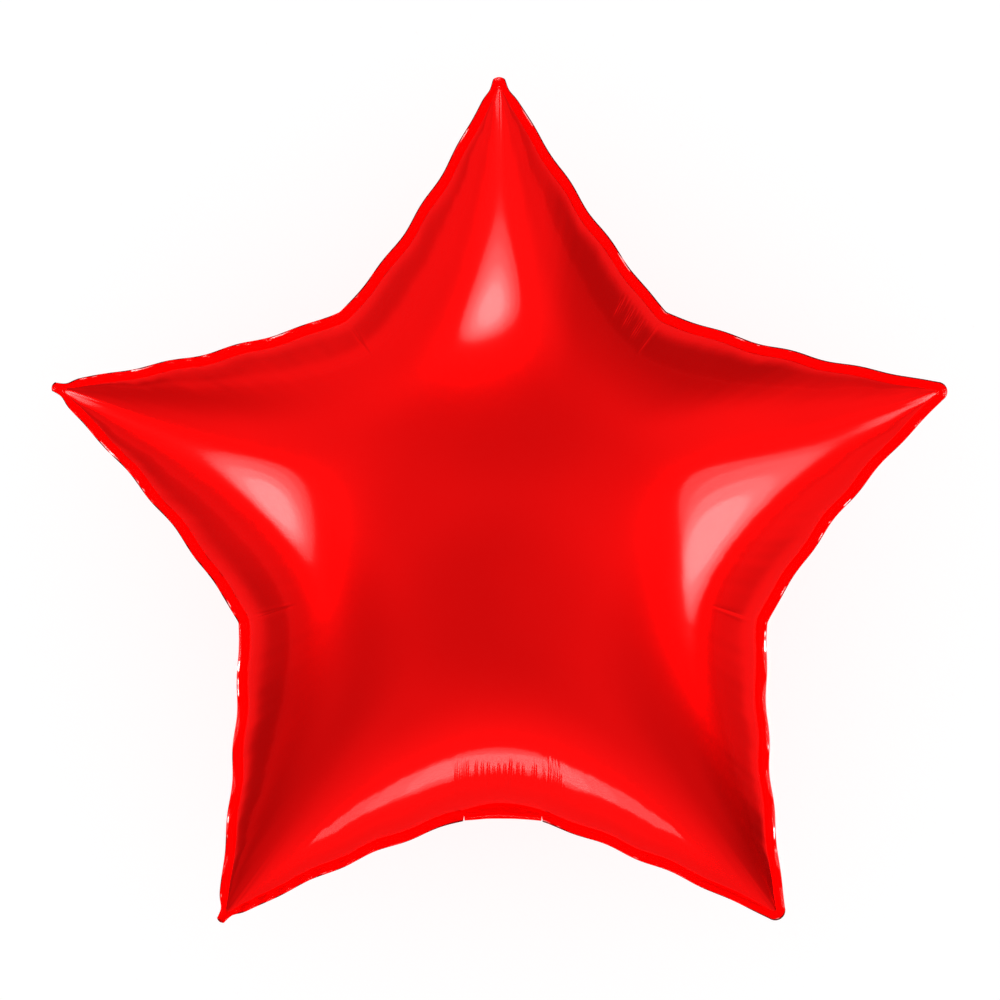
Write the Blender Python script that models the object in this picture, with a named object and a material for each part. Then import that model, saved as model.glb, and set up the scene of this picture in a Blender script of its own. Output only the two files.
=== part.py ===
"""Star foil balloon, filled and sealed, lying on its back on a flat surface.

Metres, +Z up. The front faces +Z and the top point of the star looks along +Y. The origin is the middle of
the small flat on which the back rests, straight under the middle of the star.

The balloon is one closed body: a front and a back skin of metallised film that are welded together along a
margin round the star, swollen by the gas inside. The filling tail leaves the notch between the two lower
points and is folded back behind the star. In plan, columns of points run from the weld line in to the middle.
"""

import math
from collections import namedtuple

import bmesh
import bpy
import numpy as np
from mathutils import Vector
from mathutils.bvhtree import BVHTree

# The outline of the swollen star, at the cut edge of its margin
POINT_RADIUS = 0.2214
NOTCH_RADIUS = 0.1308
# longer: how much further than POINT_RADIUS the tip is. lean: how many degrees it leans anticlockwise.
# pinch: how far the margin draws in behind a knobbed tip.
# sag_before and sag_after: how far the two edges of the point bow inwards, going anticlockwise.
Point = namedtuple("Point", "longer lean tip_round pinch sag_before sag_after")
TOP = Point(-0.0051, 0.5, 0.0042, 0.0010, 0.0029, 0.0048)
LEFT = Point(0.0023, -0.5, 0.0032, 0.0014, 0.0038, 0.0043)
LOWER_LEFT = Point(0.0033, -0.4, 0.0030, 0.0014, 0.0021, 0.0047)
LOWER_RIGHT = Point(0.0006, 0.1, 0.0048, 0.0000, 0.0035, 0.0030)
RIGHT = Point(-0.0013, 0.5, 0.0046, 0.0000, 0.0052, 0.0034)
STAR = (TOP, LEFT, LOWER_LEFT, LOWER_RIGHT, RIGHT)
EDGE_SKEW = 0.86
EDGE_FULLNESS = 0.9
FIRST_POINT = math.radians(90)
NECK_BEFORE_POINT = STAR.index(LOWER_RIGHT)
SCALLOP_DEPTH = 0.0006
SCALLOP_PITCH = 0.034

# The skins
HALF_DEPTH = 0.083
CROWN_POWER = 0.57
CONTACT_DIAMETER = 0.044
CREASE_DEPTH = 0.0011
CREASE_WIDTH = 0.012
CREASE_RISE = 0.007
CREASE_LENGTH = 0.034
PUCKER_DEPTH = 0.0006
PUCKER_VARIATION = 0.4
PUCKER_REACH = 0.016

# The welded margin
MARGIN_WIDTH = 0.0040
FILM_THICKNESS = 0.0006
WELD_TIP_ROUND = 0.0015
MARGIN_WAVE = 0.0007
MARGIN_WAVE_PITCH = 0.023
MARGIN_WAVE_AT_WELD = 0.5

# The neck, the gathers over the valve that is welded inside it, and the filling tail
NECK_WIDTH = 0.036
NECK_ARCH = 0.0016
NECK_RISE = 0.0012
NECK_SLIT = 0.0020
NECK_FLAT = 0.0017
VALVE_OVERLAP = 0.006
GATHER_PITCH = 0.0040
GATHER_DEPTH = 0.0006
GATHER_FOOT = 0.004
GATHER_RISE = 0.015
GATHER_FALL = 0.0075
FOLD_RADIUS = 0.0020
TAIL_LENGTH = 0.060
TAIL_LOOSE_LENGTH = 0.042
TAIL_END_WIDTH = 0.030
TAIL_GAP = 0.0010

# How finely the mesh follows the shape
CREASE_STEPS = 3
VALVE_STEPS = 3
MIDDLE_STEPS = 10
TIP_STEPS = 3
TIP_STRETCH = 0.008
ARC_STEPS = 4
RINGS = 11
RING_POWER = 1.7
WAVE_RINGS = 3
FOLD_STATIONS = 3
TAIL_STATIONS = 11
SKIN_PROBES = 120

FILM_RED = (0.80, 0.004, 0.004, 1.0)
FILM_ROUGHNESS = 0.24
FILM_METALLIC = 0.9

HALF_TURN = math.pi / len(STAR)
GOLDEN_ANGLE = math.pi * (3 - math.sqrt(5))
NECK_STEPS = round(NECK_WIDTH / GATHER_PITCH)


def notch_columns():
    """The column of the notch before each point, and how many columns go round the star."""
    columns = [0]
    for number in range(len(STAR)):
        steps = [NECK_STEPS + VALVE_STEPS if at_neck else CREASE_STEPS for at_neck in edges_at_neck(number)]
        columns.append(columns[-1] + sum(steps) + 2 * (MIDDLE_STEPS + TIP_STEPS) + ARC_STEPS)
    return columns[:-1], columns[-1]


def edges_at_neck(number):
    """Whether the edges before and after a point start at the neck."""
    return number == NECK_BEFORE_POINT, number == NECK_BEFORE_POINT - 1


NOTCH_COLUMNS, COLUMNS = notch_columns()


def clear_scene():
    for obj in list(bpy.data.objects):
        bpy.data.objects.remove(obj)


def polar(radius, angle):
    return radius * np.array([math.cos(angle), math.sin(angle)])


def unit(vector):
    return vector / np.linalg.norm(vector)


def turned_left(vector):
    return np.array([-vector[1], vector[0]])


def sharp_star():
    """Corners of the star with pointed tips, anticlockwise from the notch before the top point."""
    corners = []
    for number, point in enumerate(STAR):
        middle = FIRST_POINT + 2 * HALF_TURN * number
        notches = [polar(NOTCH_RADIUS, middle - HALF_TURN), polar(NOTCH_RADIUS, middle + HALF_TURN)]
        direction = polar(1, middle + math.radians(point.lean))
        reach = POINT_RADIUS + point.longer
        tip = reach * direction
        for _ in range(6):
            half_angle = math.acos(unit(notches[0] - tip) @ unit(notches[1] - tip)) / 2
            tip = (reach + point.tip_round * (1 / math.sin(half_angle) - 1)) * direction
        corners += [notches[0], tip]
    return np.array(corners)


def moved_in(corners, inset):
    """The corners of an anticlockwise outline whose straight edges all move in by inset."""
    moved = []
    for number, corner in enumerate(corners):
        before = turned_left(unit(corner - corners[number - 1]))
        after = turned_left(unit(corners[(number + 1) % len(corners)] - corner))
        moved.append(corner + inset * (before + after) / (1 + before @ after))
    return np.array(moved)


def edge_stations(length, at_neck):
    """Distances from the notch along an edge: close together at a crease, over the valve and at the tip."""
    near = np.linspace(0, CREASE_WIDTH / 2, CREASE_STEPS + 1)
    if at_neck:
        tail = np.linspace(0, NECK_WIDTH / 2, NECK_STEPS + 1)
        near = [*tail, *(NECK_WIDTH / 2 + np.linspace(NECK_SLIT, VALVE_OVERLAP, VALVE_STEPS))]
    middle = np.linspace(near[-1], length - TIP_STRETCH, MIDDLE_STEPS + 1)
    tip = np.linspace(length - TIP_STRETCH, length, TIP_STEPS + 1)
    return [*near, *middle[1:], *tip[1:]]


def edge_offset(distance, length, sag, edge_number, at_neck):
    """How far an edge lies outside the straight line from notch to tip."""
    share = min(1.0, distance / length)
    hump = math.sin(math.pi * share**EDGE_SKEW)
    scallops = math.sin(math.tau * distance / SCALLOP_PITCH + GOLDEN_ANGLE * edge_number)
    offset = SCALLOP_DEPTH * hump * scallops - sag * hump**EDGE_FULLNESS
    if at_neck:
        from_neck = 2 * distance / NECK_WIDTH
        offset -= NECK_ARCH * from_neck * math.exp(1 - from_neck)
    return offset


def edge_points(notch, tip, outwards, end, sag, pinch, edge_number, at_neck):
    """One edge of a point, from its notch to where the tip's arc starts, end short of the sharp tip."""
    length = np.linalg.norm(tip - notch) - end
    points = []
    for distance in edge_stations(length, at_neck):
        offset = edge_offset(distance, length, sag, edge_number, at_neck)
        offset -= pinch * math.exp(-(((length - distance) / (TIP_STRETCH / 2) - 1) ** 2))
        points.append(notch + unit(tip - notch) * distance + outwards * offset)
    return points


def star_outline(inset, tip_round=None):
    """The star's outline, anticlockwise from the notch before the top point, one point for each column."""
    corners = moved_in(sharp_star(), inset)
    outline = []
    for number, point in enumerate(STAR):
        rounding = tip_round or point.tip_round
        pinch = 0 if tip_round else point.pinch
        notch, tip = corners[2 * number], corners[2 * number + 1]
        next_notch = corners[(2 * number + 2) % len(corners)]
        outwards = -turned_left(unit(tip - notch)), turned_left(unit(tip - next_notch))
        half_angle = math.acos(unit(notch - tip) @ unit(next_notch - tip)) / 2
        end = rounding / math.tan(half_angle)
        middle = tip + unit(unit(notch - tip) + unit(next_notch - tip)) * rounding / math.sin(half_angle)
        start = math.atan2(outwards[0][1], outwards[0][0])
        turn = np.linspace(start, start + math.pi - 2 * half_angle, ARC_STEPS + 1)
        arc = [middle + polar(rounding, angle) for angle in turn[1:-1]]
        neck = edges_at_neck(number)
        edge = 2 * number
        before = edge_points(notch, tip, outwards[0], end, point.sag_before, pinch, edge, neck[0])
        after = edge_points(next_notch, tip, outwards[1], end, point.sag_after, pinch, edge + 1, neck[1])
        outline += [*before, *arc, *after[:0:-1]]
    return np.array(outline)


def columns_between(column, other):
    return abs((column - other + COLUMNS // 2) % COLUMNS - COLUMNS // 2)


def neck_distance(column):
    """How many columns lie between this one and the middle of the neck."""
    return columns_between(column, NOTCH_COLUMNS[NECK_BEFORE_POINT])


def margin_outline():
    """The cut edge of the margin. At the neck it is where the tail starts to fold."""
    cut = star_outline(0.0)
    fold = star_outline(MARGIN_WIDTH - NECK_FLAT)
    for column in range(COLUMNS):
        if neck_distance(column) <= NECK_STEPS:
            rise = NECK_RISE * (1 - (neck_distance(column) / NECK_STEPS) ** 2)
            cut[column] = fold[column] + rise * unit(fold[NOTCH_COLUMNS[NECK_BEFORE_POINT]])
    return cut


def skin_rings(weld):
    """Plan of the rings of a skin, from the weld line in to the circle that rests on the surface."""
    directions = weld / np.linalg.norm(weld, axis=1)[:, None]
    circle = directions * CONTACT_DIAMETER / 2
    shares = [(ring / RINGS) ** RING_POWER for ring in range(RINGS + 1)]
    return [weld * (1 - share) + circle * share for share in shares]


def skin_triangles():
    """Corner numbers of a skin's triangles: ring * COLUMNS + column, and the last point is the middle."""
    triangles = []
    for ring in range(RINGS):
        for column in range(COLUMNS):
            after = (column + 1) % COLUMNS
            a, b = ring * COLUMNS + column, ring * COLUMNS + after
            c, d = a + COLUMNS, b + COLUMNS
            triangles += [(a, b, d), (a, d, c)]
    last, middle = RINGS * COLUMNS, (RINGS + 1) * COLUMNS
    triangles += [(last + k, last + (k + 1) % COLUMNS, middle) for k in range(COLUMNS)]
    return triangles


def membrane_sag(flat, triangles, rim_count):
    """Sag of a film over the outline under even pressure: 0 on the rim, 1 at its deepest."""
    stiffness = np.zeros((len(flat), len(flat)))
    load = np.zeros(len(flat))
    for triangle in triangles:
        corners = list(triangle)
        a, b, c = flat[corners]
        opposite = np.array([c - b, a - c, b - a])
        area = abs(np.linalg.det(opposite[:2])) / 2
        stiffness[np.ix_(corners, corners)] += opposite @ opposite.T / (4 * area)
        load[corners] += area / 3
    sag = np.zeros(len(flat))
    sag[rim_count:] = np.linalg.solve(stiffness[rim_count:, rim_count:], load[rim_count:])
    return sag / sag.max()


def margin_wave(column, weld):
    """Height of the wavy margin over the middle plane. The neck stays level."""
    along = math.atan2(weld[column][1], weld[column][0]) * np.linalg.norm(weld[column])
    calm = min(1.0, max(0.0, neck_distance(column) / NECK_STEPS - 1))
    return MARGIN_WAVE * calm * math.sin(math.tau * along / MARGIN_WAVE_PITCH)


def fade(value, start, end):
    """A smooth step from 0 at start to 1 at end."""
    share = min(1.0, max(0.0, (value - start) / (end - start)))
    return share * share * (3 - 2 * share)


def relief(column, inwards, across):
    """How far a skin stands out from its smooth form, at a distance inwards from the weld line.

    There are gathers over the valve, a crease in each other notch, and puckers along the weld. The gathers
    repeat with the distance across from the star's middle line.
    """
    from_notch = min(columns_between(column, notch) for notch in NOTCH_COLUMNS)
    if neck_distance(column) <= NECK_STEPS + VALVE_STEPS:
        wave = math.cos(math.tau * across / GATHER_PITCH)
        crest = GATHER_FOOT + GATHER_RISE
        share = fade(inwards, GATHER_FOOT, crest) * (1 - fade(inwards, crest, crest + GATHER_FALL))
        return GATHER_DEPTH * wave * share
    if from_notch == 0:
        share = fade(inwards, 0, CREASE_RISE) * (1 - fade(inwards, CREASE_LENGTH / 2, CREASE_LENGTH))
        return -CREASE_DEPTH * share
    if from_notch > CREASE_STEPS:
        side = 1 if column % 2 else -1
        strength = 1 - PUCKER_VARIATION * (1 - math.sin(GOLDEN_ANGLE * column))
        return side * strength * PUCKER_DEPTH * math.exp(-inwards / PUCKER_REACH)
    return 0.0


def add_skin(bm, rings, heights, direction, waves):
    """Adds one skin's points to the mesh and returns them ring by ring, the weld line first."""
    made = []
    for ring, flat in enumerate(rings):
        lift = MARGIN_WAVE_AT_WELD * (1 - fade(ring, 0, WAVE_RINGS))
        levels = direction * (heights[ring] + FILM_THICKNESS / 2) + lift * waves
        made.append([bm.verts.new((*place, z)) for place, z in zip(flat, levels)])
    return made


def join_loops(bm, outer, inner, closed=True):
    """A band of quads between two rows of vertices, facing up where outer runs anticlockwise."""
    count = len(outer) if closed else len(outer) - 1
    for k in range(count):
        after = (k + 1) % len(outer)
        bm.faces.new((outer[k], outer[after], inner[after], inner[k]))


def press_relief(made, rings):
    """Moves a skin's vertices out of its smooth form, along their normals."""
    weld = rings[0]
    moves = []
    for ring in range(1, RINGS):
        for column in range(COLUMNS):
            inwards = np.linalg.norm(rings[ring][column] - weld[column])
            vertex = made[ring][column]
            moves.append((vertex, vertex.normal * relief(column, inwards, weld[column][0])))
    for vertex, move in moves:
        vertex.co += move


def tail_path(bm, weld, edge_column):
    """Middle line of the folded tail as (y, z) points, from the end of its bend behind the notch to its end.

    It follows the back skin under the tail's side edges, loosely at first and then close to the skin.
    """
    bm.normal_update()
    tree = BVHTree.FromBMesh(bm)
    start = weld[edge_column][1]
    skin = [(start, 0.0)]
    for probe in range(1, SKIN_PROBES):
        y = start + 2 * TAIL_LENGTH * (probe / SKIN_PROBES) ** 2
        place, _, _, _ = tree.ray_cast(Vector((weld[edge_column][0], y, -1)), Vector((0, 0, 1)))
        if place is not None:
            skin.append((y, place.z))
    skin = np.array(skin)
    along = np.concatenate([[0], np.cumsum(np.linalg.norm(np.diff(skin, axis=0), axis=1))])
    path = []
    for distance in np.linspace(2 * FOLD_RADIUS, TAIL_LENGTH, TAIL_STATIONS):
        place = np.array([np.interp(distance, along, skin[:, axis]) for axis in (0, 1)])
        ahead = np.array([np.interp(distance + FOLD_RADIUS, along, skin[:, axis]) for axis in (0, 1)])
        away = -turned_left(unit(ahead - place))
        slack = FOLD_RADIUS * (1 - fade(distance, 0, TAIL_LOOSE_LENGTH))
        path.append(place + away * (TAIL_GAP + FILM_THICKNESS + slack))
    return path


def add_tail(bm, weld, top, bottom):
    """Folds the tail from the neck's part of the margin round to the back. Returns the columns it takes."""
    middle = NOTCH_COLUMNS[NECK_BEFORE_POINT]
    columns = list(range(middle - NECK_STEPS, middle + NECK_STEPS + 1))
    edge = columns[-1]
    bend_start = np.array([top[edge].co.y, 0.0])
    wall = tail_path(bm, weld, edge)
    quarter = np.linspace(0, math.pi / 2, FOLD_STATIONS + 1)
    bend = [bend_start + FOLD_RADIUS * np.array([-math.sin(a), math.cos(a) - 1]) for a in quarter]
    line = [*bend, *wall]
    neck_half = abs(weld[edge][0])
    outer_rows, inner_rows = [[top[k] for k in columns]], [[bottom[k] for k in columns]]
    travelled = 0.0
    for station in range(1, len(line)):
        here, last = line[station], line[station - 1]
        ahead = line[min(station + 1, len(line) - 1)]
        travelled += np.linalg.norm(here - last)
        away = -turned_left(unit(ahead - last)) * FILM_THICKNESS / 2
        narrow = 1 + (TAIL_END_WIDTH / 2 / neck_half - 1) * min(1.0, travelled / TAIL_LENGTH)
        rows = ([], [])
        for column in columns:
            arch = (top[column].co.y - bend_start[0]) * (1 - fade(travelled, 0, 4 * FOLD_RADIUS))
            for row, sign in zip(rows, (1, -1)):
                y, z = here + sign * away
                row.append(bm.verts.new((top[column].co.x * narrow, y + arch, z)))
        outer_rows.append(rows[0])
        inner_rows.append(rows[1])
    for outer, inner, last_outer, last_inner in zip(outer_rows[1:], inner_rows[1:], outer_rows, inner_rows):
        join_loops(bm, outer, last_outer, closed=False)
        join_loops(bm, last_inner, inner, closed=False)
        bm.faces.new((outer[0], last_outer[0], last_inner[0], inner[0]))
        bm.faces.new((inner[-1], last_inner[-1], last_outer[-1], outer[-1]))
    join_loops(bm, inner_rows[-1], outer_rows[-1], closed=False)
    return columns


def build_balloon():
    weld = star_outline(MARGIN_WIDTH, WELD_TIP_ROUND)
    cut = margin_outline()
    rings = skin_rings(weld)
    plan = np.array([*np.concatenate(rings), (0.0, 0.0)])
    heights = HALF_DEPTH * membrane_sag(plan, skin_triangles(), COLUMNS) ** CROWN_POWER
    crown_height = heights[-1]
    front_heights = heights[:-1].reshape(RINGS + 1, COLUMNS)
    contact_depth = front_heights[-1].max()
    back_heights = front_heights.copy()
    back_heights[-1] = contact_depth
    waves = np.array([margin_wave(column, weld) for column in range(COLUMNS)])

    bm = bmesh.new()
    front = add_skin(bm, rings, front_heights, 1, waves)
    back = add_skin(bm, rings, back_heights, -1, waves)
    half_film = FILM_THICKNESS / 2
    top_edge = [bm.verts.new((*place, wave + half_film)) for place, wave in zip(cut, waves)]
    low_edge = [bm.verts.new((*place, wave - half_film)) for place, wave in zip(cut, waves)]
    for outer, inner in zip([top_edge, *front], front):
        join_loops(bm, outer, inner)
    for outer, inner in zip([low_edge, *back], back):
        join_loops(bm, inner, outer)
    crown = bm.verts.new((0, 0, crown_height + half_film))
    rest = bm.verts.new((0, 0, -contact_depth - half_film))
    for column in range(COLUMNS):
        after = (column + 1) % COLUMNS
        bm.faces.new((front[-1][column], front[-1][after], crown))
        bm.faces.new((back[-1][after], back[-1][column], rest))
    bm.normal_update()
    press_relief(front, rings)
    press_relief(back, rings)
    tail_columns = add_tail(bm, weld, top_edge, low_edge)
    for column in range(COLUMNS):
        after = (column + 1) % COLUMNS
        if not (column in tail_columns and after in tail_columns):
            bm.faces.new((top_edge[after], top_edge[column], low_edge[column], low_edge[after]))

    mesh = bpy.data.meshes.new("foil_balloon")
    bm.to_mesh(mesh)
    bm.free()
    mesh.shade_smooth()
    mesh.set_sharp_from_angle(angle=math.radians(40))
    balloon = bpy.data.objects.new("foil_balloon", mesh)
    balloon.location.z = contact_depth + half_film
    bpy.context.scene.collection.objects.link(balloon)
    return balloon


def film_material():
    material = bpy.data.materials.new("red_film")
    material.use_nodes = True
    shader = material.node_tree.nodes["Principled BSDF"]
    shader.inputs["Base Color"].default_value = FILM_RED
    shader.inputs["Roughness"].default_value = FILM_ROUGHNESS
    shader.inputs["Metallic"].default_value = FILM_METALLIC
    return material


def main():
    clear_scene()
    balloon = build_balloon()
    balloon.data.materials.append(film_material())


main()
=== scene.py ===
"""Looks of the star foil balloon: its red metallised film with all its wrinkles, the light and the camera.

Metres, +Z up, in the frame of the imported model. The balloon lies on its back on the floor: the front faces +Z
and the top point of the star looks along +Y. One finely made skin stands for the plain solid and has its form:
the same star, swelling, notch creases, gathers over the valve, wavy margin and folded tail.
"""

import math
from collections import namedtuple

import bpy
import numpy as np
from mathutils import Matrix, Vector
from mathutils.bvhtree import BVHTree


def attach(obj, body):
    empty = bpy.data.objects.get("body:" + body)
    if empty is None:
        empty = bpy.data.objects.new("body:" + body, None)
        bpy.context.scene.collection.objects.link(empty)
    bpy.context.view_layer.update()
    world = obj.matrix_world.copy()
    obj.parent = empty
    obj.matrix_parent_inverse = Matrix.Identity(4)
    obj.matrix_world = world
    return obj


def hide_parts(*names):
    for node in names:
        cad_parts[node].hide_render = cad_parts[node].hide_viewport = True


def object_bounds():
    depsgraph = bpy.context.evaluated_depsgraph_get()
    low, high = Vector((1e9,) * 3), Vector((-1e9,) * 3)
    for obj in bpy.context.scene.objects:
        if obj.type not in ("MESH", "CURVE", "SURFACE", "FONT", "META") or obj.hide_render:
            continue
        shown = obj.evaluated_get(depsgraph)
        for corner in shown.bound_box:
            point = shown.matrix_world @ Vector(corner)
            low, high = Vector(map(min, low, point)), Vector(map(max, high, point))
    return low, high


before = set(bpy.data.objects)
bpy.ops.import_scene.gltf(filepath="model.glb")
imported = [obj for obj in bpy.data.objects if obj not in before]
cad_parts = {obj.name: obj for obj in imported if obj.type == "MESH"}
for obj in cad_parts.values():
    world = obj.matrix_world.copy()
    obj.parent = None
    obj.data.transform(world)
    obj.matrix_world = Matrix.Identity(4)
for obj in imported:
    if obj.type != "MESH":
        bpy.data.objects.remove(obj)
CAD_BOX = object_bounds()

# The outline of the swollen star, at the cut edge of its margin
POINT_RADIUS = 0.2214
NOTCH_RADIUS = 0.1308
# longer: how much further than POINT_RADIUS the tip is. lean: how many degrees it leans anticlockwise.
# pinch: how far the margin draws in behind a knobbed tip.
# sag_before and sag_after: how far the two edges of the point bow inwards, going anticlockwise.
Point = namedtuple("Point", "longer lean tip_round pinch sag_before sag_after")
TOP = Point(-0.0051, 0.5, 0.0042, 0.0010, 0.0029, 0.0048)
LEFT = Point(0.0023, -0.5, 0.0032, 0.0014, 0.0038, 0.0043)
LOWER_LEFT = Point(0.0033, -0.4, 0.0030, 0.0014, 0.0021, 0.0047)
LOWER_RIGHT = Point(0.0006, 0.1, 0.0048, 0.0000, 0.0035, 0.0030)
RIGHT = Point(-0.0013, 0.5, 0.0046, 0.0000, 0.0052, 0.0034)
STAR = (TOP, LEFT, LOWER_LEFT, LOWER_RIGHT, RIGHT)
EDGE_SKEW = 0.86
EDGE_FULLNESS = 0.9
FIRST_POINT = math.radians(90)
NECK_NOTCH = STAR.index(LOWER_RIGHT)
SCALLOP_DEPTH = 0.0006
SCALLOP_PITCH = 0.034
TIP_FIT_ROUNDS = 6

# The skins
HALF_DEPTH = 0.083
CROWN_POWER = 0.57
CONTACT_DIAMETER = 0.044
SAG_PRECISION = 1e-14
# Creases at the notches: each one's depth, and the small roll beside it, as shares of the depth and the width
CREASE_DEPTH = (0.0004, 0.0002, 0.0004, 0.0, 0.0004)
CREASE_WIDTH = 0.0012
CREASE_NARROWING = 0.5
CREASE_RISE = 0.005
CREASE_LENGTH = 0.026
CREASE_ROLL = 0.45
CREASE_ROLL_AT = 1.6
# Short wrinkles beside the upper right notch, square to the edge of the top point. Reach: how far in from the
# weld they start, are full, fade and end, which chance shifts.
WRINKLE_EDGE = 0
WRINKLE_SPAN = (0.002, 0.025)
WRINKLE_PITCH = 0.0024
WRINKLE_REACH = (0.005, 0.009, 0.014, 0.020)
WRINKLE_DEPTH = 0.00017
WRINKLE_LEAST = 0.4
WRINKLE_SHIFT_ALONG = 0.1
WRINKLE_SHIFT_IN = 0.003
# Puckers along the weld, with finer ones between them
PUCKER_DEPTH = 0.00012
PUCKER_PITCH = 0.021
PUCKER_REACH = 0.014
PUCKER_RISE = 0.003
FINE_PUCKERS = 0.5
FINE_PUCKER_PITCH = 0.0087
PUCKER_CLEARANCE = 3

# The welded margin
MARGIN_WIDTH = 0.0040
FILM_THICKNESS = 0.0006
WELD_TIP_ROUND = 0.0015
MARGIN_WAVE = 0.0003
MARGIN_WAVE_PITCH = 0.023
MARGIN_WAVE_AT_WELD = 0.5
MARGIN_RIPPLE = 0.25
MARGIN_RIPPLE_PITCH = 0.37
MARGIN_DROOP = 0.0012

# The neck, the gathers over the valve that is welded inside it, and the filling tail
NECK_WIDTH = 0.036
NECK_ARCH = 0.0016
NECK_RISE = 0.0012
NECK_SLIT = 0.0010
NECK_FLAT = 0.0017
VALVE_REACH = 0.034
# Gathers over the valve's weld: where each one is across, in millimetres. Those inside the given range start
# further in than the ones at the sides.
GATHERS = (-21.8, -20.0, -18.0, -16.5, -12.4, -9.6, -6.8, -4.5, -1.9, 0.8, 3.7, 7.0, 9.3, 13.3, 15.1, 18.9,
           21.8, 23.5, 24.8, 26.8)
MILLIMETRE = 0.001
GATHER_INNER = (-15.0, 20.0)
GATHER_FOOT = (0.007, 0.013)
GATHER_SIDE_FOOT = (0.002, 0.006)
GATHER_TOP = 0.0235
GATHER_TOP_SPREAD = 0.0035
GATHER_TOP_FADE = 0.003
GATHER_LEAN = 0.12
GATHER_DEPTH = 0.00022
GATHER_WIDTH = 0.00042
# The least share of that depth and width, and what chance adds to it
GATHER_DEPTH_SHARES = (0.55, 0.9)
GATHER_WIDTH_SHARES = (0.8, 0.6)
GATHER_ROLL = 0.4
GATHER_ROLL_AT = 1.7
FOLD_RADIUS = 0.0020
TAIL_LENGTH = 0.060
TAIL_LOOSE_LENGTH = 0.042
TAIL_END_WIDTH = 0.030
TAIL_GAP = 0.0010
TAIL_ARCH_END = 4 * FOLD_RADIUS

# How finely the skin follows the shape
CREASE_REACH = 0.006
CREASE_STEPS = 12
NECK_STEPS = 46
SLIT_STEPS = 2
VALVE_STEPS = 36
WRINKLE_STEPS = 40
MIDDLE_STEPS = 64
TIP_STRETCH = 0.008
TIP_STEPS = 8
ARC_STEPS = 8
# Zones of a skin from the weld in: how far in each one ends, its rings, how they crowd, and that only every
# second or fourth column goes on in it
Zone = namedtuple("Zone", "end rings power every")
ZONES = (Zone(0.30, 34, 1.5, 1), Zone(0.66, 16, 1.0, 2), Zone(1.0, 10, 1.0, 4))
CROWN_RINGS = 6
CROWN_EVERY = 8
WAVED_RINGS = 12
MARGIN_ROWS = 4
FOLD_STATIONS = 5
TAIL_STATIONS = 24
SKIN_PROBES = 160
SHARP_ANGLE = 50

HALF_TURN = math.pi / len(STAR)
GOLDEN_ANGLE = math.pi * (3 - math.sqrt(5))

# The photograph's frame: 1000 pixels across, and the star's middle in it
PIXEL = 0.00047
PIXELS = 1000
MIDDLE_PIXEL = (503, 537)
CAMERA_HEIGHT = 4.0
SENSOR_WIDTH = 36
FURTHEST_SEEN = 100

# The film: its red, which varies a little over it, its gloss, and the painted shade line and painted pink
# highlights along its cut edge
FILM_REDS = ((0.87, 0.0, 0.0, 1), (0.9, 0.0, 0.0, 1))
RED_STEP = (0.3, 0.7)
GLOSS_TINT = (1.0, 0.0, 0.0, 1)
FILM_ROUGHNESS = 0.16
FINE_ROUGHNESS = 0.03
WELD_ROUGHNESS = 0.25
PLY = 0.024
PLY_LOST_AT_WELD = 0.018
PLY_ROUGHNESS = 0.08
PLY_IOR = 2.5
UNEVEN_STRENGTH = 0.03
UNEVEN_HEIGHT = 0.001
UNEVEN_FINE = 0.3
# Scale and detail of the broad, the fine, the patchy and the speckled noise
FILM_NOISES = ((16.0, 2.0), (420.0, 3.0), (55.0, 2.0), (130.0, 1.0))
# Painted highlight: pink glints painted into the base colour in specks and patches along the cut edge, standing
# in for the margin mirroring the lamps
PAINTED_GLINT_PINK = (0.95, 0.4, 0.4, 1)
PAINTED_GLINT_SPECKS = (0.56, 0.62)
PAINTED_GLINT_PATCHES = (0.5, 0.6)
PAINTED_GLINT_REACH = (0.0, 0.3)
# Painted shade: a dark red line painted along the cut edge of the margin, broken in places by patchy noise
PAINTED_EDGE_SHADE_RED = (0.1, 0.0, 0.0, 1)
PAINTED_EDGE_SHADE_DARKNESS = 0.97
PAINTED_EDGE_SHADE_REACH = (0.2, 0.6)
PAINTED_EDGE_SHADE_BREAKS = (0.72, 0.6)

# Light. Tilts are degrees from straight up, azimuths degrees anticlockwise from +X, and brightness 1 is white.
# Soft boxes: the spot on the skin that each one shines on, and its tilt, azimuth and distance from there. Its
# ovals, from the dim rim to the bright core: degrees aside and up from its middle, across, high and turned,
# and brightness
SoftBox = namedtuple("SoftBox", "name spot tilt azimuth distance ovals")
SOFT_BOXES = (
    SoftBox("upper", (-0.003, 0.115, 0.138), 56, 97, 0.5, (
        (0, -0.5, 33, 19.6, 0, 11.5), (1, 0.5, 28, 16, 0, 9),
        (1, 1.5, 22, 12, 0, 17), (1, 2, 15, 8, 0, 26))),
    SoftBox("left", (-0.109, 0.017, 0.138), 60, 185, 0.5, (
        (-4, 2.5, 34, 19, 25, 11.5), (-3, 1.5, 29, 16, 25, 9),
        (-1, 0.5, 23, 13, 25, 17), (0, 0.5, 16, 9, 25, 26))),
    SoftBox("right", (0.108, 0.015, 0.138), 61, 352, 0.5, (
        (4, 2, 46, 24, -42, 11.5), (1, 0, 39, 22, -42, 9),
        (-2, 0, 30, 18, -45, 17), (-4, 0, 20, 13, -50, 26))),
    SoftBox("front", (0.0, -0.107, 0.115), 86, 270, 0.16, (
        (-1, 1.5, 54, 16, 0, 13), (-2, 1.5, 32, 22, 0, 5), (-1, 1.5, 19, 27, 0, 8))),
)
OVAL_STEP = 0.004
ROOM = 0.83
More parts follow.
